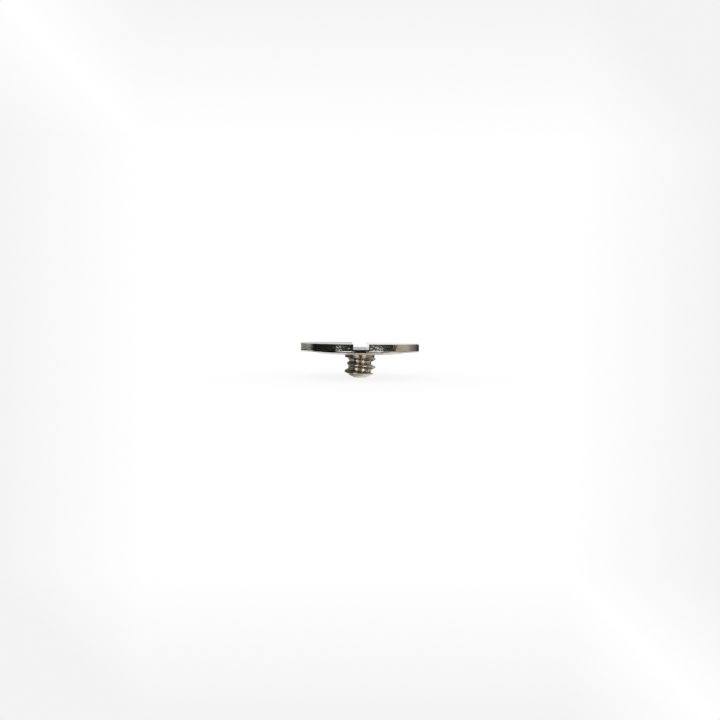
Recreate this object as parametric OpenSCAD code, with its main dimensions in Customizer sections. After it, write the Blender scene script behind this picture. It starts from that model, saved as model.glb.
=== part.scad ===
// Watch movement screw of the kind that holds a crown wheel: a wide, thin, slotted head,
// a raised seat and a plain neck under it, and a short thread with a chamfered end.
// The real screw is turned from one steel bar. Its three zones are separate solids here,
// which meet face to face and have nothing between them.
// All lengths are in millimetres. The origin is the centre of the seat's flat ring,
// and +Z runs along the axis of the screw towards the head.

/* [Head] */
// Diameter of the head
head_d = 3.7; // [3.5:0.05:4.5]
// Thickness of the head at its rim
head_h = 0.26; // [0.2:0.01:0.4]
// Width and height of the polished bevel round the upper edge
top_bevel = 0.015; // [0.01:0.005:0.05]
// Width and height of the bevel round the lower edge
bottom_bevel = 0.05; // [0.02:0.01:0.07]

/* [Slot] */
// Width of the screwdriver slot
slot_w = 0.45; // [0.3:0.01:0.6]
// Depth of the screwdriver slot
slot_depth = 0.165; // [0.08:0.005:0.18]

/* [Seat] */
// Diameter of the seat's flat bearing ring
seat_d = 2.5; // [1.6:0.05:2.6]
// Diameter at which the seat's sloping side meets the head
seat_base_d = 3.0; // [2.7:0.05:3.2]
// Height of the seat below the head
seat_h = 0.07; // [0.03:0.01:0.2]

/* [Neck] */
// Diameter of the plain neck
neck_d = 0.93; // [0.85:0.01:0.97]
// Length of the neck, from the seat to the start of the thread
neck_h = 0.11; // [0.1:0.01:0.4]
// Radius of the fillet between the seat and the neck
neck_fillet = 0.045; // [0.02:0.005:0.08]

/* [Thread] */
// Outside diameter of the thread
thread_d = 1.0; // [1:0.05:1.2]
// Pitch, which is how far the thread climbs in one turn
pitch = 0.25; // [0.2:0.025:0.3]
// Hand of the thread
thread_hand = "left"; // [left, right]
// Length of the threaded shank, from the neck to the end of the screw
thread_length = 0.635; // [0.45:0.005:1.5]
// Length over which the neck tapers down to the root of the thread
run_out = 0.09; // [0.05:0.005:0.12]
// Angle by which the thread is turned about the axis, in degrees
thread_turn = 100; // [0:5:355]

/* [End of the screw] */
// Diameter of the flat at the very end
end_d = 0.44; // [0.2:0.02:0.56]
// Length of the chamfer that leads the thread into its hole
end_chamfer = 0.135; // [0.05:0.005:0.2]

/* [Hidden] */
$fn = 180;

head_r = head_d / 2;
head_top = seat_h + head_h;
slot_floor = head_top - slot_depth;
neck_r = neck_d / 2;
fillet_steps = 6;

// The thread has the 60 degree form of miniature screws: its depth is 0.56 of the pitch,
// and its crest is a flat an eighth of the pitch wide.
crest_r = thread_d / 2;
thread_depth = 0.56 * pitch;
root_r = crest_r - thread_depth;
crest_w = pitch / 8;
flank_run = thread_depth * tan(30);
root_w = pitch - crest_w - 2 * flank_run;
// How much deeper the middle of the hollow root is than its corners
root_hollow = root_w * tan(15) / 2;

// Corners of one thread, as height above the lower corner of its crest and radius
thread_corners = [
    [0, crest_r],
    [crest_w, crest_r],
    [crest_w + flank_run / 3, crest_r - thread_depth / 3],
    [crest_w + flank_run * 2 / 3, crest_r - thread_depth * 2 / 3],
    [crest_w + flank_run, root_r],
    [crest_w + flank_run + root_w / 2, root_r - root_hollow],
    [crest_w + flank_run + root_w, root_r],
    [pitch - flank_run * 2 / 3, crest_r - thread_depth * 2 / 3],
    [pitch - flank_run / 3, crest_r - thread_depth / 3]
];
corner_count = len(thread_corners);

thread_top = -neck_h;
thread_end = thread_top - thread_length;
end_r = end_d / 2;
// Straight steps round one turn, and the climb in each
turn_steps = 60;
step_climb = pitch / turn_steps;
// A corner nearer than this to either end of the shank is taken to that end
end_snap = step_climb / 2;
// The lowest crest starts a whole pitch below the screw's end, so the end cuts it anywhere
first_crest = thread_end - pitch - crest_w / 2;
thread_rows = corner_count * (1 + ceil((thread_top - first_crest) / pitch));

// Height of a row of corners at one step round the axis
function row_z(step, row) =
    first_crest + floor(row / corner_count) * pitch
    + thread_corners[row % corner_count][0] + step * step_climb;

// Radius of the chamfer at the screw's end, at a height
function chamfer_r(z) = end_r + (z - thread_end) * (crest_r - end_r) / end_chamfer;

// Radius of the bevel that starts each crest beside the neck, at a height
function lead_in_r(z) = neck_r + (thread_top - z);

// Radius of the taper from the neck down to the root, at a height
function run_out_r(z) = neck_r - (thread_top - z) * (neck_r - root_r) / run_out;

// Radius of the shank at a row of corners, trimmed by both ends
function row_r(row, z) =
    min(
        max(thread_corners[row % corner_count][1], run_out_r(z)),
        chamfer_r(z),
        lead_in_r(z)
    );

// Direction round the axis in which the thread climbs
climb_sign = thread_hand == "left" ? -1 : 1;

// A point at one step round the axis
function at_step(step, r, z) =
    let (angle = thread_turn + climb_sign * 360 * step / turn_steps)
    [r * cos(angle), r * sin(angle), z];

// Index of the point at a step and row. A full turn brings each row onto the one above it,
// and rows beyond either end fall on the edge of that end.
function point_at(step, row) =
    step == turn_steps ? point_at(0, row + corner_count) :
    row_z(step, row) < thread_end + end_snap ? step :
    row_z(step, row) > thread_top - end_snap ? turn_steps + step :
    2 * turn_steps + step * thread_rows + row;

// A face in the order that keeps its outside outwards for either hand
function facing_out(face) =
    climb_sign > 0 ? face : [for (i = [len(face) - 1 : -1 : 0]) face[i]];

module slotted_head() {
    color("#8f8e8a")
    difference() {
        rotate_extrude()
            polygon([
                [0, seat_h],
                [head_r - bottom_bevel, seat_h],
                [head_r, seat_h + bottom_bevel],
                [head_r, head_top - top_bevel],
                [head_r - top_bevel, head_top],
                [0, head_top]
            ]);
        translate([-slot_w / 2, -head_d, slot_floor])
            cube([slot_w, 2 * head_d, head_h]);
    }
}

module bearing_shoulder() {
    fillet_arc = [
        for (i = [0 : fillet_steps])
            let (angle = 90 + 90 * i / fillet_steps)
            [
                neck_r + neck_fillet + neck_fillet * cos(angle),
                -neck_fillet + neck_fillet * sin(angle)
            ]
    ];
    color("#a89c8c")
    rotate_extrude()
        polygon(concat(
            [[0, seat_h], [seat_base_d / 2, seat_h], [seat_d / 2, 0]],
            fillet_arc,
            [[neck_r, -neck_h], [0, -neck_h]]
        ));
}

module threaded_shank() {
    end_edge = [for (step = [0 : turn_steps - 1]) at_step(step, end_r, thread_end)];
    neck_edge = [for (step = [0 : turn_steps - 1]) at_step(step, neck_r, thread_top)];
    rows = [
        for (step = [0 : turn_steps - 1], row = [0 : thread_rows - 1])
            let (z = min(max(row_z(step, row), thread_end), thread_top))
            at_step(step, row_r(row, z), z)
    ];
    sides = [
        for (step = [0 : turn_steps - 1], row = [0 : thread_rows - 2])
            let (
                low = point_at(step, row),
                low_next = point_at(step + 1, row),
                high_next = point_at(step + 1, row + 1),
                high = point_at(step, row + 1)
            )
            for (face = [[low, high_next, low_next], [low, high, high_next]])
                if (face[0] != face[1] && face[1] != face[2] && face[2] != face[0]) face
    ];
    ends = [
        [for (step = [0 : turn_steps - 1]) step],
        [for (step = [turn_steps - 1 : -1 : 0]) turn_steps + step]
    ];
    color("#7c7264")
    polyhedron(
        points = concat(end_edge, neck_edge, rows),
        faces = [for (face = concat(sides, ends)) facing_out(face)]
    );
}

slotted_head();
bearing_shoulder();
threaded_shank();
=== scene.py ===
# Watch movement screw: a wide thin slotted head, a raised seat, a plain neck and a short
# left-hand thread, all of one piece of hardened steel. Lengths named in millimetres are
# turned to metres where a mesh, a lamp or the camera is made. The screw stands on its end,
# its axis is Z, its slot runs along Y, and the photograph is taken from -Y.

import math

import bmesh
import bpy
from mathutils import Matrix, Vector


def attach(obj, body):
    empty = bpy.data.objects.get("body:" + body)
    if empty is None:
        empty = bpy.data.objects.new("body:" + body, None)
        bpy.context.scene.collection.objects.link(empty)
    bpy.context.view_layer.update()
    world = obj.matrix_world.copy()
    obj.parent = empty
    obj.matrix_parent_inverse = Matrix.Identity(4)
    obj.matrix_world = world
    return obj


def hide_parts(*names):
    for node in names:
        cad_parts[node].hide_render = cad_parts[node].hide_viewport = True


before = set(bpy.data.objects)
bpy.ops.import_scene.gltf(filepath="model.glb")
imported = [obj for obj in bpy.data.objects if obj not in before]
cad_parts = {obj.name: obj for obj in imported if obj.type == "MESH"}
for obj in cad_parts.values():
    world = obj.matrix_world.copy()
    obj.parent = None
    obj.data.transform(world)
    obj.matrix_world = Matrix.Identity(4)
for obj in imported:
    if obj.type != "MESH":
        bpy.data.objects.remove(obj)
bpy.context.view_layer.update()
scene = bpy.context.scene
scene.view_settings.view_transform = "Standard"

# The head: a disc turned from the bar, cut across by a narrow slot, hardened and then
# lapped and buffed to a mirror on its top, its rim and the rounded edges between them.
# Its underside keeps the rings of the lathe, and the slot's floor the marks of its cutter.
MM = 0.001
HEAD_R = 1.85
HEAD_BOTTOM = 0.07
HEAD_TOP = 0.33
TOP_EDGE = 0.015
LOWER_EDGE = 0.05
SLOT_HALF = 0.225
SLOT_FLOOR = 0.165
SLOT_CORNER = 0.012
SLOT_LIP = 0.008
# Heights of the rows of corners on the straight part of the rim
RIM_ROWS = (0.142, 0.22, 0.27)
# The lathe's rings under the head: the largest, their spacing, their number and their height
UNDER_R = 1.785
UNDER_STEP = 0.0125
UNDER_RINGS = 23
UNDER_RELIEF = 0.0012
# Steps of half the rim, of the slot's wall and of the slot's open end, and the angles in
# degrees at which the rounded edges have their rows of corners
ARC_STEPS = 168
CHORD_STEPS = 40
END_STEPS = 14
ROUND_ANGLES = range(0, 91, 9)
# Edges that turn more than this many degrees stay sharp
SHARP_FROM = 35


def rim_inset(z):
    """How far the rim stands back from its full radius at a height."""
    if z > HEAD_TOP - TOP_EDGE:
        rise = min((z - HEAD_TOP + TOP_EDGE) / TOP_EDGE, 1)
        return TOP_EDGE * (1 - math.sqrt(1 - rise * rise))
    if z < HEAD_BOTTOM + LOWER_EDGE:
        drop = min((HEAD_BOTTOM + LOWER_EDGE - z) / LOWER_EDGE, 1)
        return LOWER_EDGE * (1 - math.sqrt(1 - drop * drop))
    return 0


def slot_wall(z):
    """Distance of the slot's wall from the axis at a height."""
    if z > HEAD_TOP - SLOT_LIP:
        rise = min((z - HEAD_TOP + SLOT_LIP) / SLOT_LIP, 1)
        return SLOT_HALF + SLOT_LIP * (1 - math.sqrt(1 - rise * rise))
    if z < SLOT_FLOOR + SLOT_CORNER:
        drop = min((SLOT_FLOOR + SLOT_CORNER - z) / SLOT_CORNER, 1)
        return SLOT_HALF - SLOT_CORNER * (1 - math.sqrt(1 - drop * drop))
    return SLOT_HALF


def half_outline(z, side):
    """Outline of the half head beside the slot, anticlockwise: its arc, then its chord."""
    r = HEAD_R - rim_inset(z)
    wall = slot_wall(z)
    reach = math.acos(wall / r)
    arc = [
        (r * math.cos(a), r * math.sin(a))
        for a in (reach * (2 * i / ARC_STEPS - 1) for i in range(ARC_STEPS + 1))
    ]
    y = r * math.sin(reach)
    chord = [(wall, y * (1 - 2 * i / CHORD_STEPS)) for i in range(1, CHORD_STEPS)]
    return [(side * px * MM, side * py * MM, z * MM) for px, py in arc + chord]


def join_rings(bm, low, high, material):
    """Closes the band between two rings of as many corners each, and gives its faces."""
    band = []
    for i in range(len(low)):
        j = (i + 1) % len(low)
        face = bm.faces.new((low[i], low[j], high[j], high[i]))
        face.material_index = material
        band.append(face)
    return band


def to_object(bm, name, sharp_from=None):
    """Turns a finished mesh into an object, with sharp edges from an angle in degrees."""
    mesh = bpy.data.meshes.new(name)
    bm.to_mesh(mesh)
    bm.free()
    if sharp_from:
        mesh.set_sharp_from_angle(angle=math.radians(sharp_from))
    made = bpy.data.objects.new(name, mesh)
    scene.collection.objects.link(made)
    return made


# Places of the four finishes in the head's list of materials
POLISHED, MILLED, TURNED, LAPPED = 0, 1, 2, 3

bm = bmesh.new()
upper_levels = [
    SLOT_FLOOR + SLOT_CORNER * (1 - math.cos(math.radians(a))) for a in (0, 30, 60, 90)
]
upper_levels += [z for z in RIM_ROWS if z > SLOT_FLOOR]
upper_levels += [
    HEAD_TOP - TOP_EDGE + TOP_EDGE * math.sin(math.radians(a)) for a in ROUND_ANGLES
]
strip = {}
for side in (1, -1):
    rings = [[bm.verts.new(p) for p in half_outline(z, side)] for z in upper_levels]
    strip[side] = rings[0]
    for low, high in zip(rings, rings[1:]):
        for face in join_rings(bm, low, high, POLISHED)[ARC_STEPS:]:
            face.material_index = LAPPED
    bm.faces.new(rings[-1]).material_index = LAPPED

# The two ends of the slot's floor follow the rim between the halves.
floor_reach = math.asin(slot_wall(SLOT_FLOOR) / HEAD_R)
slot_ends = {}
for side in (1, -1):
    slot_ends[side] = [
        bm.verts.new(
            (
                -side * HEAD_R * math.sin(a) * MM,
                side * HEAD_R * math.cos(a) * MM,
                SLOT_FLOOR * MM,
            )
        )
        for a in (floor_reach * (2 * i / END_STEPS - 1) for i in range(1, END_STEPS))
    ]
right_arc, right_chord = strip[1][: ARC_STEPS + 1], strip[1][ARC_STEPS + 1 :]
left_arc, left_chord = strip[-1][: ARC_STEPS + 1], strip[-1][ARC_STEPS + 1 :]
floor_loop = (
    [right_arc[-1]]
    + slot_ends[1]
    + [left_arc[0]]
    + left_chord[::-1]
    + [left_arc[-1]]
    + slot_ends[-1]
    + [right_arc[0]]
    + right_chord[::-1]
)
bm.faces.new(floor_loop).material_index = MILLED

rim_ring = right_arc + slot_ends[1] + left_arc + slot_ends[-1]
lower_levels = [z for z in RIM_ROWS if z < SLOT_FLOOR]
lower_levels += [
    HEAD_BOTTOM + LOWER_EDGE * (1 - math.sin(math.radians(a))) for a in ROUND_ANGLES
]
above = rim_ring
for z in lower_levels:
    scale = (HEAD_R - rim_inset(z)) / HEAD_R
    ring = [bm.verts.new((v.co.x * scale, v.co.y * scale, z * MM)) for v in rim_ring]
    join_rings(bm, ring, above, POLISHED)
    above = ring
# Shallow rings that the lathe left between the rounded edge and the seat
for i in range(UNDER_RINGS):
    z = HEAD_BOTTOM + (UNDER_RELIEF if i % 2 else 0)
    scale = (UNDER_R - UNDER_STEP * i) / HEAD_R
    ring = [bm.verts.new((v.co.x * scale, v.co.y * scale, z * MM)) for v in rim_ring]
    join_rings(bm, ring, above, TURNED)
    above = ring
bm.faces.new(above[::-1]).material_index = TURNED
bmesh.ops.recalc_face_normals(bm, faces=bm.faces)
for face in bm.faces:
    face.smooth = True
head = to_object(bm, "polished_head", SHARP_FROM)


def linear(code):
    """Turns an sRGB hex colour into the linear colour that a shader takes."""
    parts = [int(code[i : i + 2], 16) / 255 for i in (1, 3, 5)]
    return [c / 12.92 if c <= 0.04045 else ((c + 0.055) / 1.055) ** 2.4 for c in parts] + [1]


def add(tree, kind, settings=None, links=None):
    """Adds one node with its settings, and links named sockets to what feeds them."""
    made = tree.nodes.new(kind)
    for name, value in (settings or {}).items():
        if isinstance(name, int) or name in made.inputs:
            made.inputs[name].default_value = value
        else:
            setattr(made, name, value)
    for name, source in (links or {}).items():
        tree.links.new(source, made.inputs[name])
    return made


# Hardened carbon steel, buffed: a mirror with a faint warm tint, whose rim keeps a pebbled
# waviness from the soft buff, strongest at the front, and a few hairlines that run round it.
# The real hairlines are much finer, and are drawn as coarse as they need to show.
TINT_PATCH = 0.3846
HAZE_PATCH = 0.1111
PEBBLE = 0.05
PEBBLE_DEPTH = 0.0068
HAIRLINE_LENGTH = 0.1111
HAIRLINE = 0.01111
HAIRLINE_DEPTH = 0.0002
# Heights between which the pebbles grow to their full depth, and the places along Y between
# which they fall to a third of it behind the front
PEBBLES_FROM = HEAD_BOTTOM + 0.055
PEBBLES_FULL = HEAD_BOTTOM + 0.1
FRONT_UNTIL = -1.1
FRONT_GONE = -0.3
polished = bpy.data.materials.new("buffed_hardened_steel")
polished.use_nodes = True
tree = polished.node_tree
shader = tree.nodes["Principled BSDF"]
shader.inputs["Metallic"].default_value = 1
place = add(tree, "ShaderNodeTexCoord").outputs["Object"]
clouds = add(
    tree, "ShaderNodeTexNoise", {"Scale": 1 / (TINT_PATCH * MM), "Detail": 3}, {"Vector": place}
)
tint = add(
    tree,
    "ShaderNodeMix",
    {"data_type": "RGBA", 6: linear("#bcbbb8"), 7: linear("#cdccca")},
    {0: clouds.outputs["Fac"]},
)
tree.links.new(tint.outputs[2], shader.inputs["Base Color"])
haze = add(
    tree, "ShaderNodeTexNoise", {"Scale": 1 / (HAZE_PATCH * MM), "Detail": 4}, {"Vector": place}
)
gloss = add(
    tree,
    "ShaderNodeMapRange",
    {"From Min": 0.3, "From Max": 0.7, "To Min": 0.05, "To Max": 0.1},
    {"Value": haze.outputs["Fac"]},
)
tree.links.new(gloss.outputs["Result"], shader.inputs["Roughness"])
along, across = 1 / (HAIRLINE_LENGTH * MM), 1 / (HAIRLINE * MM)
stretched = add(
    tree, "ShaderNodeMapping", {"Scale": (along, along, across)}, {"Vector": place}
)
hairlines = add(
    tree, "ShaderNodeTexNoise", {"Scale": 1, "Detail": 2}, {"Vector": stretched.outputs[0]}
)
buffing = add(
    tree, "ShaderNodeTexNoise", {"Scale": 1 / (PEBBLE * MM), "Detail": 1}, {"Vector": place}
)
apart = add(tree, "ShaderNodeSeparateXYZ", {}, {"Vector": place})
above_edge = add(
    tree,
    "ShaderNodeMapRange",
    {"From Min": PEBBLES_FROM * MM, "From Max": PEBBLES_FULL * MM},
    {"Value": apart.outputs["Z"]},
)
level = add(
    tree, "ShaderNodeMath", {"operation": "SUBTRACT", 1: 0.5}, {0: buffing.outputs["Fac"]}
)
at_front = add(
    tree,
    "ShaderNodeMapRange",
    {"From Min": FRONT_UNTIL * MM, "From Max": FRONT_GONE * MM, "To Min": 1, "To Max": 0.3},
    {"Value": apart.outputs["Y"]},
)
pebbles = add(
    tree,
    "ShaderNodeMath",
    {"operation": "MULTIPLY"},
    {0: level.outputs[0], 1: above_edge.outputs["Result"]},
)
pebbles = add(
    tree,
    "ShaderNodeMath",
    {"operation": "MULTIPLY"},
    {0: pebbles.outputs[0], 1: at_front.outputs["Result"]},
)
fine = add(
    tree,
    "ShaderNodeBump",
    {"Strength": 1, "Distance": HAIRLINE_DEPTH * MM},
    {"Height": hairlines.outputs["Fac"]},
)
waves = add(
    tree,
    "ShaderNodeBump",
    {"Strength": 1, "Distance": PEBBLE_DEPTH * MM},
    {"Height": pebbles.outputs[0], "Normal": fine.outputs["Normal"]},
)
tree.links.new(waves.outputs["Normal"], shader.inputs["Normal"])

# The top face of the same steel, lapped flat on a zinc block: a truer mirror than the rim,
# with faint straight scratches that the lap and screwdrivers left in all directions, drawn
# wider than the real ones so that they show.
LAPPED_PATCH = 0.5556
SCRATCH_LENGTH = 0.6667
SCRATCH = 0.0125
SCRATCH_DEPTH = 0.00012
SCRATCH_TURNS = (0.35, 1.3, 2.5)
lapped = bpy.data.materials.new("lapped_hardened_steel")
lapped.use_nodes = True
tree = lapped.node_tree
shader = tree.nodes["Principled BSDF"]
shader.inputs["Metallic"].default_value = 1
place = add(tree, "ShaderNodeTexCoord").outputs["Object"]
clouds = add(
    tree, "ShaderNodeTexNoise", {"Scale": 1 / (LAPPED_PATCH * MM), "Detail": 4}, {"Vector": place}
)
tint = add(
    tree,
    "ShaderNodeMix",
    {"data_type": "RGBA", 6: linear("#c6c3bf"), 7: linear("#dad8d5")},
    {0: clouds.outputs["Fac"]},
)
tree.links.new(tint.outputs[2], shader.inputs["Base Color"])
gloss = add(
    tree,
    "ShaderNodeMapRange",
    {"From Min": 0.3, "From Max": 0.7, "To Min": 0.06, "To Max": 0.12},
    {"Value": clouds.outputs["Fac"]},
)
tree.links.new(gloss.outputs["Result"], shader.inputs["Roughness"])
along, across = 1 / (SCRATCH_LENGTH * MM), 1 / (SCRATCH * MM)
relief = None
for turn_by in SCRATCH_TURNS:
    turned_place = add(
        tree,
        "ShaderNodeMapping",
        {"Rotation": (0, 0, turn_by), "Scale": (along, across, along)},
        {"Vector": place},
    )
    scratches = add(
        tree, "ShaderNodeTexNoise", {"Scale": 1, "Detail": 2}, {"Vector": turned_place.outputs[0]}
    )
    inputs = {"Height": scratches.outputs["Fac"]}
    if relief:
        inputs["Normal"] = relief.outputs["Normal"]
    relief = add(tree, "ShaderNodeBump", {"Strength": 1, "Distance": SCRATCH_DEPTH * MM}, inputs)
tree.links.new(relief.outputs["Normal"], shader.inputs["Normal"])

# The slot's floor: the same steel as the cutter left it, matt, with lines along it, drawn
# coarser than the cutter's real ones. The slot's walls were rubbed bright with the top face.
CUTTER_LINE = 0.01667
CUTTER_LINE_LENGTH = 0.4
CUTTER_LINE_DEPTH = 0.0006
milled = bpy.data.materials.new("milled_hardened_steel")
milled.use_nodes = True
tree = milled.node_tree
shader = tree.nodes["Principled BSDF"]
shader.inputs["Metallic"].default_value = 1
place = add(tree, "ShaderNodeTexCoord").outputs["Object"]
along, across = 1 / (CUTTER_LINE_LENGTH * MM), 1 / (CUTTER_LINE * MM)
stretched = add(
    tree, "ShaderNodeMapping", {"Scale": (across, along, across)}, {"Vector": place}
)
lines = add(
    tree, "ShaderNodeTexNoise", {"Scale": 1, "Detail": 3}, {"Vector": stretched.outputs[0]}
)
tint = add(
    tree,
    "ShaderNodeMix",
    {"data_type": "RGBA", 6: linear("#9a989f"), 7: linear("#bebdc5")},
    {0: lines.outputs["Fac"]},
)
tree.links.new(tint.outputs[2], shader.inputs["Base Color"])
shader.inputs["Roughness"].default_value = 0.2
relief = add(
    tree,
    "ShaderNodeBump",
    {"Strength": 1, "Distance": CUTTER_LINE_DEPTH * MM},
    {"Height": lines.outputs["Fac"]},
)
tree.links.new(relief.outputs["Normal"], shader.inputs["Normal"])

# Turned hardened steel, not polished: satin, with the lathe's rings round the axis, which
# draw a highlight out across the rings. They are as wide as the render can show them.
TURNED_RING = 0.01429
TURNED_RING_DEPTH = 0.0003
STAIN = 0.2857
turned = bpy.data.materials.new("turned_hardened_steel")
turned.use_nodes = True
tree = turned.node_tree
shader = tree.nodes["Principled BSDF"]
shader.inputs["Metallic"].default_value = 1
shader.inputs["Anisotropic"].default_value = 0.4
shader.inputs["Anisotropic Rotation"].default_value = 0.25
place = add(tree, "ShaderNodeTexCoord").outputs["Object"]
apart = add(tree, "ShaderNodeSeparateXYZ", {}, {"Vector": place})
flat = add(
    tree,
    "ShaderNodeCombineXYZ",
    {},
    {"X": apart.outputs["X"], "Y": apart.outputs["Y"]},
)
out = add(tree, "ShaderNodeVectorMath", {"operation": "LENGTH"}, {0: flat.outputs[0]})
ring_place = add(
    tree,
    "ShaderNodeCombineXYZ",
    {},
    {"X": out.outputs["Value"], "Z": apart.outputs["Z"]},
)
rings = add(
    tree,
    "ShaderNodeTexNoise",
    {"Scale": 1 / (TURNED_RING * MM), "Detail": 2},
    {"Vector": ring_place.outputs[0]},
)
stain = add(
    tree, "ShaderNodeTexNoise", {"Scale": 1 / (STAIN * MM), "Detail": 3}, {"Vector": place}
)
tint = add(
    tree,
    "ShaderNodeMix",
    {"data_type": "RGBA", 6: linear("#b5ada2"), 7: linear("#d6d0c8")},
    {0: stain.outputs["Fac"]},
)
tree.links.new(tint.outputs[2], shader.inputs["Base Color"])
shader.inputs["Roughness"].default_value = 0.2
relief = add(
    tree,
    "ShaderNodeBump",
    {"Strength": 1, "Distance": TURNED_RING_DEPTH * MM},
    {"Height": rings.outputs["Fac"]},
)
tree.links.new(relief.outputs["Normal"], shader.inputs["Normal"])
around = add(tree, "ShaderNodeTangent", {"direction_type": "RADIAL", "axis": "Z"})
tree.links.new(around.outputs["Tangent"], shader.inputs["Tangent"])

for material in (polished, milled, turned, lapped):
    head.data.materials.append(material)
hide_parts("slotted_head")
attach(head, "root")

# The bearing shoulder: a low boss with a sloping side and a flat ring that clamps the wheel
# core, then a fillet and the plain neck. It is turned in one pass with the head's underside.
SEAT_R = 1.25
SEAT_BASE_R = 1.5
NECK_R = 0.465
NECK_END = -0.11
FILLET = 0.045
SEAT_EDGE = 0.012
EDGE_STEPS = 5
# The sloping side is hollowed by a trace, deepest at this distance in from the head
SLOPE_IN = 0.09
SLOPE_HOLLOW = 0.0008
# The lathe's rings on the seat and on the neck: the first, their spacing, their number and
# their height
SEAT_RING_IN = 0.006
SEAT_RING_STEP = 0.0165
SEAT_RINGS = 42
SEAT_RELIEF = 0.0009
NECK_RING_Z = -0.052
NECK_RING_STEP = 0.0085
NECK_RINGS = 7
NECK_RELIEF = 0.0003
ROUND_STEPS = 288

# Half outline of the shoulder as radius and height, from the head down to the thread
outline = [(0, HEAD_BOTTOM), (SEAT_BASE_R, HEAD_BOTTOM)]
slope = math.atan2(HEAD_BOTTOM, SEAT_BASE_R - SEAT_R)
edge_r = SEAT_R - SEAT_EDGE * math.tan(slope / 2)
outline += [(SEAT_BASE_R - SLOPE_IN, HEAD_BOTTOM - SLOPE_IN * math.tan(slope) + SLOPE_HOLLOW)]
outline += [
    (edge_r + SEAT_EDGE * math.sin(a), SEAT_EDGE * (1 - math.cos(a)))
    for a in (slope * (1 - i / EDGE_STEPS) for i in range(EDGE_STEPS + 1))
]
outline += [
    (edge_r - SEAT_RING_IN - SEAT_RING_STEP * i, SEAT_RELIEF if i % 2 else 0)
    for i in range(SEAT_RINGS)
]
outline += [
    (
        NECK_R + FILLET + FILLET * math.cos(math.radians(a)),
        -FILLET + FILLET * math.sin(math.radians(a)),
    )
    for a in range(90, 181, 9)
]
outline += [
    (NECK_R - (NECK_RELIEF if i % 2 else 0), NECK_RING_Z - NECK_RING_STEP * i)
    for i in range(NECK_RINGS)
]
outline += [(NECK_R, NECK_END), (0, NECK_END)]

bm = bmesh.new()
last = None
for r, z in outline:
    if r == 0:
        ring = [bm.verts.new((0, 0, z * MM))]
    else:
        ring = [
            bm.verts.new((r * math.cos(a) * MM, r * math.sin(a) * MM, z * MM))
            for a in (2 * math.pi * i / ROUND_STEPS for i in range(ROUND_STEPS))
        ]
    if last:
        for i in range(ROUND_STEPS):
            j = (i + 1) % ROUND_STEPS
            corners = [last[i % len(last)], last[j % len(last)]]
            corners += [ring[j % len(ring)], ring[i % len(ring)]]
            bm.faces.new(list(dict.fromkeys(corners))).smooth = True
    last = ring
bmesh.ops.recalc_face_normals(bm, faces=bm.faces)
shoulder = to_object(bm, "turned_shoulder", SHARP_FROM)
shoulder.data.materials.append(turned)
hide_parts("bearing_shoulder")
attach(shoulder, "root")

# The threaded shank: a left-hand thread cut with a chaser, its crests a little rounded and
# uneven, its roots nearly flat, run out against the neck and chamfered at the end. On its
# left the chaser cut the first turn low, and the end was filed back a little.
CREST_R = 0.5
PITCH = 0.25
CREST_W = 0.036
THREAD_DEPTH = 0.138
THREAD_TOP = NECK_END
THREAD_END = -0.745
RUN_OUT = 0.09
LEAD_IN_SLOPE = 0.8
END_R = 0.22
END_CHAMFER = 0.135
# Rings of the end's face, as radius and height above its edge
END_RINGS = ((0.17, 0), (0.09, 0.0004), (0.03, 0.0008))
# Angle in degrees by which the thread is turned about the axis, and its steps in a turn
THREAD_TURN = 100
TURN_STEPS = 180
THREAD_SHARP_FROM = 42

# The flanks lean 25 degrees, and a small round joins each to the nearly flat root.
FLANK = math.radians(25)
ROOT_ROUND = 0.02
CREST_EDGE = 0.01
# How far down a flank the crests are uneven, and by how much
CREST_BAND = 0.03
CREST_WEAR = 0.0022
# Flaws of the left side. Every crest loses a share of its height, and the low turn more, as
# far below the neck as it goes. The neck's taper sinks beside it, and a cut stands above it,
# given by its depth, its distance below the neck and its width.
LEFT_CUT = 0.12
LOW_TURN_CUT = 0.61
LOW_TURN_END = 0.3
LOW_TURN_SINK = 0.03
NOTCH_DEPTH = 0.04
NOTCH_BELOW = 0.122
NOTCH_WIDTH = 0.03
# How much the left side of the end is filed back, up to what height above the end, and over
# what length this and the low turn fade out
TRIM = 0.03
TRIM_HEIGHT = 0.145
FADE = 0.04
root_r = CREST_R - THREAD_DEPTH
root_cut = ROOT_ROUND * math.tan((math.pi / 2 - FLANK) / 2)
round_z = CREST_W / 2 + THREAD_DEPTH * math.tan(FLANK) + root_cut
round_r = root_r + ROOT_ROUND

# One side of a thread, as height above the middle of its crest and radius
side = []
for i in range(EDGE_STEPS + 1):
    a = (math.pi / 2 - FLANK) * i / EDGE_STEPS
    side.append(
        (CREST_W / 2 - CREST_EDGE * (1 - math.sin(a)), CREST_R - CREST_EDGE * (1 - math.cos(a)))
    )
for i in range(1, EDGE_STEPS):
    share = i / EDGE_STEPS
    side.append((
        CREST_W / 2 + (round_z - ROOT_ROUND * math.cos(FLANK) - CREST_W / 2) * share,
        CREST_R - (CREST_R - round_r + ROOT_ROUND * math.sin(FLANK)) * share,
    ))
for i in range(EDGE_STEPS + 1):
    a = (math.pi / 2 - FLANK) * (1 - i / EDGE_STEPS)
    side.append((round_z - ROOT_ROUND * math.sin(a), round_r - ROOT_ROUND * math.cos(a)))

# Corners of one whole thread, as height above the lower edge of its crest and radius
profile = [(CREST_W / 2, CREST_R)] + [(CREST_W / 2 + z, r) for z, r in side]
profile += [(CREST_W / 2 + PITCH / 2, root_r)]
profile += [(CREST_W / 2 + PITCH - z, r) for z, r in reversed(side)]
corner_count = len(profile)

step_climb = PITCH / TURN_STEPS
first_crest = THREAD_END - PITCH - CREST_W / 2
row_count = corner_count * (1 + math.ceil((THREAD_TOP - first_crest) / PITCH))


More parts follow.
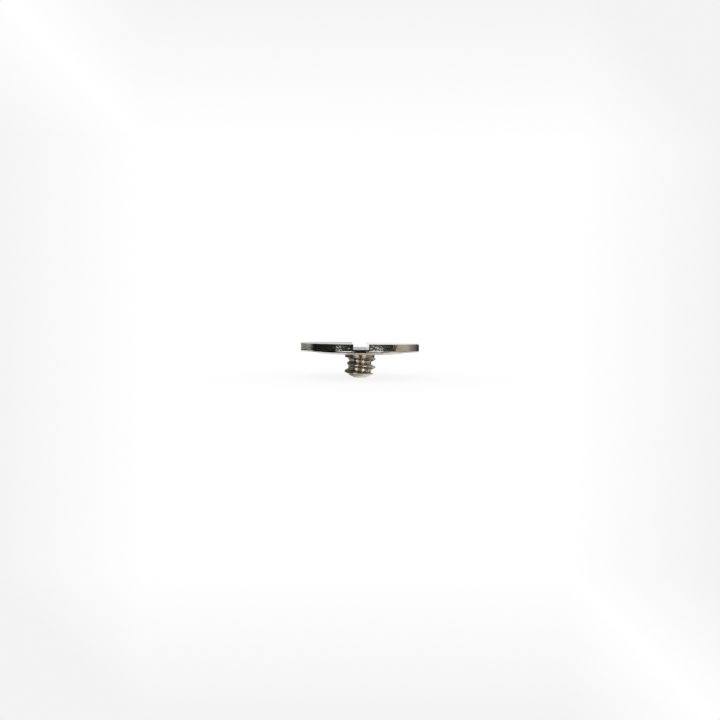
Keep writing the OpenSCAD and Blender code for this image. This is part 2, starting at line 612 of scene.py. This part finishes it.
def row_z(step, row):
    """Height of a row of corners at one step round the axis."""
    turn, index = divmod(row, corner_count)
    return first_crest + turn * PITCH + profile[index][0] + step * step_climb


def on_left(angle):
    """How much a bearing belongs to the left side, from 0 over the right half to 1."""
    return max(0, -math.cos(angle)) ** 1.5


def faded(run):
    """How much of a flaw is left at a distance inside its border, from 0 to 1."""
    return min(max(run / FADE, 0), 1)


def end_trim(z, angle):
    """How much further the left side of the end was filed back than the rest, at a height."""
    return TRIM * on_left(angle) * faded(THREAD_END + TRIM_HEIGHT - z)


def chamfer_r(z):
    """Radius of the chamfer at the screw's end, at a height."""
    return END_R + (z - THREAD_END) * (CREST_R - END_R) / END_CHAMFER


def shank_r(row, z, angle):
    """Radius of the shank at a row of corners, trimmed by both ends."""
    r = profile[row % corner_count][1]
    if r > CREST_R - CREST_BAND:
        # Two crossed waves, five and eleven in a turn, leave the crests uneven.
        swell = math.sin(5 * angle + 40 * z) * math.sin(11 * angle - 23 * z)
        r -= CREST_WEAR * (1 + swell)
    # On its left the first turn was left low by the chaser: it stands about a third as high
    # as the others, with a deeper cut between it and the neck.
    below = THREAD_TOP - z
    left = on_left(angle)
    low = left * faded(LOW_TURN_END - below)
    r -= (r - root_r) * (LEFT_CUT * left + LOW_TURN_CUT * low)
    r -= NOTCH_DEPTH * left * math.exp(-(((below - NOTCH_BELOW) / NOTCH_WIDTH) ** 2))
    # The neck's taper is half as long there, and goes a little deeper.
    taper = RUN_OUT * (1 - 0.5 * low)
    r = max(r, NECK_R - below * (NECK_R - root_r + LOW_TURN_SINK * low) / taper)
    return min(r, chamfer_r(z), NECK_R + below * LEAD_IN_SLOPE) - end_trim(z, angle)


bm = bmesh.new()
end_ring, neck_ring, body = [], [], {}
for step in range(TURN_STEPS):
    angle = math.radians(THREAD_TURN) - 2 * math.pi * step / TURN_STEPS
    ray = Vector((math.cos(angle), math.sin(angle), 0))
    up = Vector((0, 0, 1))
    end_r = END_R - end_trim(THREAD_END, angle)
    end_ring.append(bm.verts.new((ray * end_r + up * THREAD_END) * MM))
    neck_ring.append(bm.verts.new((ray * NECK_R + up * THREAD_TOP) * MM))
    for row in range(row_count):
        z = row_z(step, row)
        if THREAD_END + step_climb < z < THREAD_TOP - step_climb:
            body[step, row] = bm.verts.new((ray * shank_r(row, z, angle) + up * z) * MM)


def corner(step, row):
    """The vertex at a step and row: a full turn brings each row onto the one above it."""
    if step == TURN_STEPS:
        return corner(0, row + corner_count)
    if row_z(step, row) <= THREAD_END + step_climb:
        return end_ring[step]
    return body.get((step, row), neck_ring[step])


for step in range(TURN_STEPS):
    for row in range(row_count - 1):
        corners = [corner(step, row), corner(step, row + 1)]
        corners += [corner(step + 1, row + 1), corner(step + 1, row)]
        corners = list(dict.fromkeys(corners))
        if len(corners) > 2:
            bm.faces.new(corners).smooth = True
# Places of the shank's two finishes in its list of materials, and how near to the chamfer's
# cone a face counts as turned
THREAD_CUT, CHAMFER_TURNED = 0, 1
CONE_MARGIN = 0.004
last = end_ring
for r, rise in END_RINGS:
    z = THREAD_END + rise
    ring = [bm.verts.new((v.co.x * r / END_R, v.co.y * r / END_R, z * MM)) for v in end_ring]
    join_rings(bm, last, ring, CHAMFER_TURNED)
    last = ring
bm.faces.new(last)
bm.faces.new(neck_ring)
for face in bm.faces:
    face.smooth = True
    centre = face.calc_center_median() / MM
    cone_r = chamfer_r(centre.z) - end_trim(centre.z, math.atan2(centre.y, centre.x))
    on_cone = math.hypot(centre.x, centre.y) > cone_r - CONE_MARGIN
    face.material_index = CHAMFER_TURNED if on_cone else THREAD_CUT
bmesh.ops.recalc_face_normals(bm, faces=bm.faces)
shank = to_object(bm, "cut_thread", THREAD_SHARP_FROM)

# Hardened steel as the thread chaser left it, with a thin brown oil film in patches, and with
# painted shade on its left side, which is darker, browner and duller than the rest. Fine lines
# follow the thread, as coarse as they need to show. The neck carries the same film and shade.
FILM_PATCH = 0.1923
TOOL_MARK_LENGTH = 0.1111
TOOL_MARK = 0.00909
TOOL_MARK_DEPTH = 0.0006
# Places along X between which the painted shade deepens, and the height on the neck that the
# film and the shade reach
LEFT_SHADE_FROM = -0.14
LEFT_SHADE_FULL = -0.38
FILM_AND_SHADE_TOP = -0.02
threaded = bpy.data.materials.new("thread_cut_steel")
threaded.use_nodes = True
tree = threaded.node_tree
shader = tree.nodes["Principled BSDF"]
shader.inputs["Metallic"].default_value = 1
shader.inputs["Anisotropic"].default_value = 0.3
shader.inputs["Anisotropic Rotation"].default_value = 0.25
place = add(tree, "ShaderNodeTexCoord").outputs["Object"]
film = add(
    tree, "ShaderNodeTexNoise", {"Scale": 1 / (FILM_PATCH * MM), "Detail": 4}, {"Vector": place}
)
tint = add(
    tree,
    "ShaderNodeMix",
    {"data_type": "RGBA", 6: linear("#928d84"), 7: linear("#bab4aa")},
    {0: film.outputs["Fac"]},
)
apart = add(tree, "ShaderNodeSeparateXYZ", {}, {"Vector": place})
# Painted shade: the steel grows darker, browner and rougher towards its left side (-X).
left_shade = add(
    tree,
    "ShaderNodeMapRange",
    {"From Min": LEFT_SHADE_FROM * MM, "From Max": LEFT_SHADE_FULL * MM, "To Min": 0, "To Max": 0.9},
    {"Value": apart.outputs["X"]},
)
left_shaded = add(
    tree,
    "ShaderNodeMix",
    {"data_type": "RGBA", 7: linear("#3c3b32")},
    {0: left_shade.outputs["Result"], 6: tint.outputs[2]},
)
tree.links.new(left_shaded.outputs[2], shader.inputs["Base Color"])
gloss = add(
    tree,
    "ShaderNodeMapRange",
    {"From Min": 0.3, "From Max": 0.7, "To Min": 0.18, "To Max": 0.3},
    {"Value": film.outputs["Fac"]},
)
dulled = add(
    tree,
    "ShaderNodeMath",
    {"operation": "MULTIPLY_ADD", 1: 0.2},
    {0: left_shade.outputs["Result"], 2: gloss.outputs["Result"]},
)
tree.links.new(dulled.outputs[0], shader.inputs["Roughness"])
along, across = 1 / (TOOL_MARK_LENGTH * MM), 1 / (TOOL_MARK * MM)
stretched = add(
    tree, "ShaderNodeMapping", {"Scale": (along, along, across)}, {"Vector": place}
)
marks = add(
    tree, "ShaderNodeTexNoise", {"Scale": 1, "Detail": 3}, {"Vector": stretched.outputs[0]}
)
relief = add(
    tree,
    "ShaderNodeBump",
    {"Strength": 1, "Distance": TOOL_MARK_DEPTH * MM},
    {"Height": marks.outputs["Fac"]},
)
tree.links.new(relief.outputs["Normal"], shader.inputs["Normal"])
around = add(tree, "ShaderNodeTangent", {"direction_type": "RADIAL", "axis": "Z"})
tree.links.new(around.outputs["Tangent"], shader.inputs["Tangent"])
for material in (threaded, turned):
    shank.data.materials.append(material)
# The shoulder's second material is for its neck, with the thread's film and painted shade.
shoulder.data.materials.append(threaded)
for face in shoulder.data.polygons:
    if face.center.z < FILM_AND_SHADE_TOP * MM:
        face.material_index = 1
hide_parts("threaded_shank")
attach(shank, "root")

# The floor: a round sheet of white card that the screw stands on. It keeps a faint soft
# shadow, and towards its edge it is as white as the room behind it.
FLOOR_R = 6.2
bm = bmesh.new()
bmesh.ops.create_circle(bm, cap_ends=True, radius=FLOOR_R * MM, segments=96)
bmesh.ops.translate(bm, vec=(0, 0, THREAD_END * MM), verts=bm.verts)
floor = to_object(bm, "white_card_floor")
card = bpy.data.materials.new("matt_white_card")
card.use_nodes = True
tree = card.node_tree
shader = tree.nodes["Principled BSDF"]
shader.inputs["Base Color"].default_value = linear("#f2f2f2")
shader.inputs["Roughness"].default_value = 0.9
shader.inputs["Specular IOR Level"].default_value = 0.2
glow = add(tree, "ShaderNodeEmission", {"Color": linear("#ffffff"), "Strength": 1})
path = add(tree, "ShaderNodeLightPath")
seen = add(
    tree,
    "ShaderNodeMath",
    {"operation": "MAXIMUM"},
    {0: path.outputs["Is Camera Ray"], 1: path.outputs["Is Glossy Ray"]},
)
place = add(tree, "ShaderNodeTexCoord").outputs["Object"]
away = add(tree, "ShaderNodeVectorMath", {"operation": "LENGTH"}, {0: place})
share = add(
    tree,
    "ShaderNodeMapRange",
    {"From Min": 3 * MM, "From Max": 6 * MM, "To Min": 0.85, "To Max": 1},
    {"Value": away.outputs["Value"]},
)
whiten = add(
    tree,
    "ShaderNodeMath",
    {"operation": "MULTIPLY"},
    {0: seen.outputs[0], 1: share.outputs["Result"]},
)
mixed = add(
    tree,
    "ShaderNodeMixShader",
    {},
    {0: whiten.outputs[0], 1: shader.outputs[0], 2: glow.outputs[0]},
)
tree.links.new(mixed.outputs[0], tree.nodes["Material Output"].inputs["Surface"])
floor.data.materials.append(card)

# The room: a tent of white paper with even light from all round, at the level at which
# white stays white.
room = bpy.data.worlds.new("white_light_tent")
scene.world = room
room.use_nodes = True
tree = room.node_tree
back = tree.nodes["Background"]
back.inputs["Color"].default_value = (1, 1, 1, 1)
# Seen directly, the tent's paper is a twentieth greyer away from the middle of its back wall:
# a painted shade, apart from two seams that stay white, at its upper left and lower right. These
# are runs of X or Z for one of Y: the wall's middle, half its width, and where the whole wall
# fades out.
MIDDLE_AT = {"X": -0.0192, "Z": 0.0445}
MIDDLE_HALF = 0.34
WALL_FADES_FROM = 0.65
WALL_ENDS = 0.95
SHADE_PER_RUN = 0.42
SHADE_MOST = 0.104
toward = add(tree, "ShaderNodeTexCoord").outputs["Generated"]
apart = add(tree, "ShaderNodeSeparateXYZ", {}, {"Vector": toward})
beyond, reach = [], []
for axis, centre in MIDDLE_AT.items():
    run = add(
        tree,
        "ShaderNodeMath",
        {"operation": "DIVIDE"},
        {0: apart.outputs[axis], 1: apart.outputs["Y"]},
    )
    run = add(tree, "ShaderNodeMath", {"operation": "ADD", 1: centre}, {0: run.outputs[0]})
    middle = add(
        tree,
        "ShaderNodeClamp",
        {"Min": -MIDDLE_HALF, "Max": MIDDLE_HALF},
        {"Value": run.outputs[0]},
    )
    beyond.append(
        add(
            tree,
            "ShaderNodeMath",
            {"operation": "SUBTRACT"},
            {0: run.outputs[0], 1: middle.outputs[0]},
        )
    )
    reach.append(add(tree, "ShaderNodeMath", {"operation": "ABSOLUTE"}, {0: run.outputs[0]}))
joined = add(
    tree,
    "ShaderNodeMath",
    {"operation": "ADD"},
    {0: beyond[0].outputs[0], 1: beyond[1].outputs[0]},
)
joined = add(tree, "ShaderNodeMath", {"operation": "ABSOLUTE"}, {0: joined.outputs[0]})
# Painted shade: the paper seen directly darkens towards the wall's border.
edge_shade = add(
    tree, "ShaderNodeMath", {"operation": "MULTIPLY", 1: SHADE_PER_RUN}, {0: joined.outputs[0]}
)
edge_shade = add(
    tree, "ShaderNodeMath", {"operation": "MINIMUM", 1: SHADE_MOST}, {0: edge_shade.outputs[0]}
)
furthest = add(
    tree,
    "ShaderNodeMath",
    {"operation": "MAXIMUM"},
    {0: reach[0].outputs[0], 1: reach[1].outputs[0]},
)
back_wall = add(
    tree,
    "ShaderNodeMapRange",
    {"From Min": WALL_FADES_FROM, "From Max": WALL_ENDS, "To Min": 1, "To Max": 0},
    {"Value": furthest.outputs[0]},
)
path = add(tree, "ShaderNodeLightPath")
seen = add(
    tree,
    "ShaderNodeMath",
    {"operation": "MULTIPLY"},
    {0: path.outputs["Is Camera Ray"], 1: back_wall.outputs["Result"]},
)
level = add(
    tree,
    "ShaderNodeMath",
    {"operation": "MULTIPLY"},
    {0: seen.outputs[0], 1: edge_shade.outputs[0]},
)
level = add(tree, "ShaderNodeMath", {"operation": "SUBTRACT", 0: 1}, {1: level.outputs[0]})
tree.links.new(level.outputs[0], back.inputs["Strength"])

# One soft round lamp hangs above the screw, in front of it and to its left, and gives it its
# faint shadow on the floor.
lamp_data = bpy.data.lights.new("soft_front_lamp", "AREA")
lamp_data.shape = "DISK"
lamp_data.size = 9 * MM
lamp_data.energy = 0.00012
lamp = bpy.data.objects.new("soft_front_lamp", lamp_data)
lamp.location = Vector((-5, -9, 12)) * MM
lamp.rotation_euler = (-lamp.location).to_track_quat("-Z", "Y").to_euler()
scene.collection.objects.link(lamp)

# Black, grey and white cards stand round the screw, as for any photograph of bright metal, so
# that it shows dark and light bands. Each glows in its own tones on its lit side, is black
# on the other, apart from two that are clear from behind, and shows in reflections alone.
paper = bpy.data.materials.new("lit_paper")
paper.use_nodes = True
tree = paper.node_tree
tree.nodes.remove(tree.nodes["Principled BSDF"])
shade = add(tree, "ShaderNodeAttribute", {"attribute_name": "shade"})
facing = add(tree, "ShaderNodeNewGeometry")
glow = add(
    tree,
    "ShaderNodeEmission",
    {},
    {"Color": shade.outputs["Color"], "Strength": facing.outputs["Backfacing"]},
)
clear = add(tree, "ShaderNodeBsdfTransparent")
solid = add(
    tree,
    "ShaderNodeMath",
    {"operation": "MAXIMUM"},
    {0: facing.outputs["Backfacing"], 1: shade.outputs["Alpha"]},
)
mixed = add(
    tree,
    "ShaderNodeMixShader",
    {},
    {0: solid.outputs[0], 1: clear.outputs[0], 2: glow.outputs[0]},
)
tree.links.new(mixed.outputs[0], tree.nodes["Material Output"].inputs["Surface"])
# The photograph is taken from this bearing, a little to the left of the slot's line.
VIEW_BEARING = -1.1
# Degrees that one flat of a curved card spans
CARD_FLAT = 3


def hang_card(name, start, end, foot, top, tone, end_tone=None, strength=1.0, back=1):
    """Stands a curved card round the screw, from one bearing to another in degrees.

    A bearing of 0 is towards the camera and 90 to its right. foot and top are (radius,
    height) in millimetres. The tone runs evenly from tone to end_tone. A card that ends
    at a lower bearing than it starts is lit on its outer side, and one with a back of 0
    is clear from behind.
    """
    bm = bmesh.new()
    shade = bm.verts.layers.float_color.new("shade")
    first, last = linear(tone), linear(end_tone or tone)
    steps = max(2, round(abs(end - start) / CARD_FLAT))
    columns = []
    for i in range(steps + 1):
        a = math.radians(VIEW_BEARING + start + (end - start) * i / steps)
        ray = Vector((math.sin(a), -math.cos(a), 0))
        column = [bm.verts.new((ray * r + Vector((0, 0, z))) * MM) for r, z in (foot, top)]
        for vert in column:
            vert[shade] = [
                strength * (p + (q - p) * i / steps) for p, q in zip(first[:3], last[:3])
            ] + [back]
        columns.append(column)
    for near, far in zip(columns, columns[1:]):
        bm.faces.new((near[0], far[0], far[1], near[1]))
    sheet = to_object(bm, name)
    sheet.data.materials.append(paper)
    sheet.visible_camera = False
    sheet.visible_diffuse = False
    sheet.visible_shadow = False


# Feet and tops of the cards that stand all round, as radius and height
LOW = (5.5, THREAD_END)
HIGH = (5.8, 2.4)
SIDE_HIGH = (5.8, 1.2)
BACK_HIGH = (5.6, 0.25)
hang_card("black_card_left", -91, -37, LOW, HIGH, "#0e0e10", "#2c2c2e")
hang_card("grey_card_left_front", -37, -27, LOW, HIGH, "#5e5d5b")
hang_card("dark_card_front", -27, 14, LOW, HIGH, "#2e2e2d")
hang_card("grey_card_right_front", 14, 39, LOW, HIGH, "#50504e")
hang_card("dark_card_right", 39, 61.5, LOW, HIGH, "#30302e")
hang_card("warm_card_right", 61.5, 91, LOW, HIGH, "#d6cbbb")
hang_card("graded_card_right", 91, 130, LOW, SIDE_HIGH, "#b8aea0", "#32322e")
hang_card("dark_card_right_back", 130, 162, LOW, BACK_HIGH, "#282826")
hang_card("dark_card_left_back", 197, 205, LOW, BACK_HIGH, "#4a4a46")
hang_card("olive_card_left_back", 205, 254, LOW, SIDE_HIGH, "#93938a")
hang_card("pale_card_left", 254, 269, LOW, SIDE_HIGH, "#b2b0a4")
hang_card("grey_card_behind", 183, 216, (6, 0.3), (6, 1.1), "#d4d4d4")
hang_card("slot_card_behind", 177.5, 182.5, (6, 0.55), (6, 1.2), "#808088")
# Low strips at the sides darken the edges of the neck and the thread.
STRIP_LOW = (5.2, THREAD_END)
STRIP_HIGH = (5.2, -0.06)
hang_card("low_strip_left", -165, -46, STRIP_LOW, STRIP_HIGH, "#33332b")
hang_card("low_strip_right_front", 44, 60, STRIP_LOW, STRIP_HIGH, "#6a675c")
hang_card("low_strip_right", 60, 98, STRIP_LOW, STRIP_HIGH, "#b4ac9c")
hang_card("low_strip_right_back", 98, 178, STRIP_LOW, STRIP_HIGH, "#6a675c")
# Bright cards stand low in front, below the rim's line of sight, for the small waves of the
# rim. Smaller ones stand close to the neck and the thread, with brown ones between them.
RIM_LOW = (5.3, THREAD_END)
NECK_LOW = (2.3, -0.35)
NECK_HIGH = (2.3, -0.1)
FLANK_LOW = (0.8, -0.742)
FLANK_HIGH = (1.5, -0.3)
hang_card("lamp_card_left", -38, -31, RIM_LOW, (5.3, -0.12), "#f4f3f1", strength=1.7)
hang_card("dim_card_left", -31, -14, RIM_LOW, (5.3, -0.15), "#8a8a88")
hang_card("lamp_card_right", 15, 36, RIM_LOW, (5.3, -0.11), "#f4f3f1", strength=1.45)
hang_card("dim_card_right", 37, 62, RIM_LOW, (5.3, -0.15), "#8a8a88")
hang_card("neck_card_left", -24, -6, NECK_LOW, NECK_HIGH, "#fff6ec", strength=1.8)
hang_card("neck_card_right", 26, 45, NECK_LOW, NECK_HIGH, "#fff6ec", strength=1.8)
hang_card("neck_card_far_right", 45, 66, NECK_LOW, NECK_HIGH, "#a89e90")
hang_card("thread_card_left", -38, -20, FLANK_LOW, FLANK_HIGH, "#fff8f2", strength=2.5)
hang_card("thread_card_middle", -20, 20, FLANK_LOW, FLANK_HIGH, "#a8947d")
hang_card("thread_card_right", 20, 38, FLANK_LOW, FLANK_HIGH, "#fff8f2", strength=2.5)
hang_card("thread_card_far_right", 38, 80, FLANK_LOW, FLANK_HIGH, "#857c6c")
hang_card("seat_card_front", 60, -60, (0.6, -0.7), (0.6, -0.39), "#e8e0d4", back=0)
hang_card(
    "crest_card_right", 16, 98, (1.24, -0.52), (1.26, -0.39), "#fff4ea", strength=2.6, back=0
)
# Pale sheets lie low over the floor: the outer ones draw the white line on the head's lower
# edge, and the inner ones light the end's chamfer. Black and dark ones lie between them, and
# those under the head are painted shade in its reflections, where the floor lies in its shade.
hang_card("edge_card_left", -26, -12.5, (2.75, -0.735), (5.2, -0.62), "#ffffff", strength=2.6)
hang_card(
    "edge_card_right", 8.5, 29.5, (2.5, -0.735), (3.8, -0.7), "#c8c8c8", "#ffffff", strength=1.6
)
hang_card("edge_card_spot", 27, 30.5, (3.8, -0.7), (5.2, -0.45), "#ffffff", strength=3)
hang_card("edge_card_far_right", 31, 58, (2.5, -0.735), (3.8, -0.7), "#b0aea8", "#d8d6d0")
hang_card("chamfer_card_left", -110, -60, (0.12, -0.7445), (0.56, -0.744), "#d0cec2")
hang_card(
    "chamfer_card_front", -60, 20, (0.29, -0.7445), (0.66, -0.744), "#96947f", "#d8d6ce"
)
hang_card(
    "chamfer_card_inner", -60, 20, (0.1, -0.7445), (0.29, -0.7445), "#b4b19a", "#ffffff"
)
# Painted shade: a black sheet under the front of the head, where the floor is in its shade.
hang_card("near_black_sheet", -60, 40, (0.9, -0.744), (2.2, -0.743), "#0c0c0c")
hang_card("far_black_sheet", -80, 50, (2.2, -0.743), (5.5, -0.737), "#0c0c0c")
# Painted shade: dark sheets under the head behind the thread, where the floor is in shade.
hang_card("near_dark_sheet_right", 127, 180, (0.5, -0.744), (1.15, -0.743), "#24231c")
hang_card("far_dark_sheet_right", 150, 180, (1.15, -0.743), (2.6, -0.742), "#3c3a2f")
hang_card("warm_sheet_right", 50, 95, (2.2, -0.743), (5.5, -0.737), "#e0d6c6")

# The camera: a little above the level of the head and turned by about a degree, so that the
# slot is seen almost end on and the far edge of the head just shows.
CAMERA_HEIGHT = 0.684
CAMERA_REACH = 20
CAMERA_ROLL = 0.6
AIM_X = 0.005
AIM_Z = -0.205
bearing = math.radians(VIEW_BEARING)
camera_at = Vector(
    (
        CAMERA_REACH * math.sin(bearing) + AIM_X,
        -CAMERA_REACH * math.cos(bearing),
        CAMERA_HEIGHT,
    )
)
camera_aim = Vector((AIM_X, 0, AIM_Z))
camera_data = bpy.data.cameras.new("camera")
camera_data.lens = 31.75
camera_data.sensor_width = 36
camera_data.clip_start = 0.5 * MM
camera_data.clip_end = 2
camera = bpy.data.objects.new("camera", camera_data)
aim = (camera_aim - camera_at).to_track_quat("-Z", "Y").to_matrix().to_4x4()
roll = Matrix.Rotation(math.radians(CAMERA_ROLL), 4, "Z")
camera.matrix_world = Matrix.Translation(camera_at * MM) @ aim @ roll
scene.collection.objects.link(camera)
scene.camera = camera
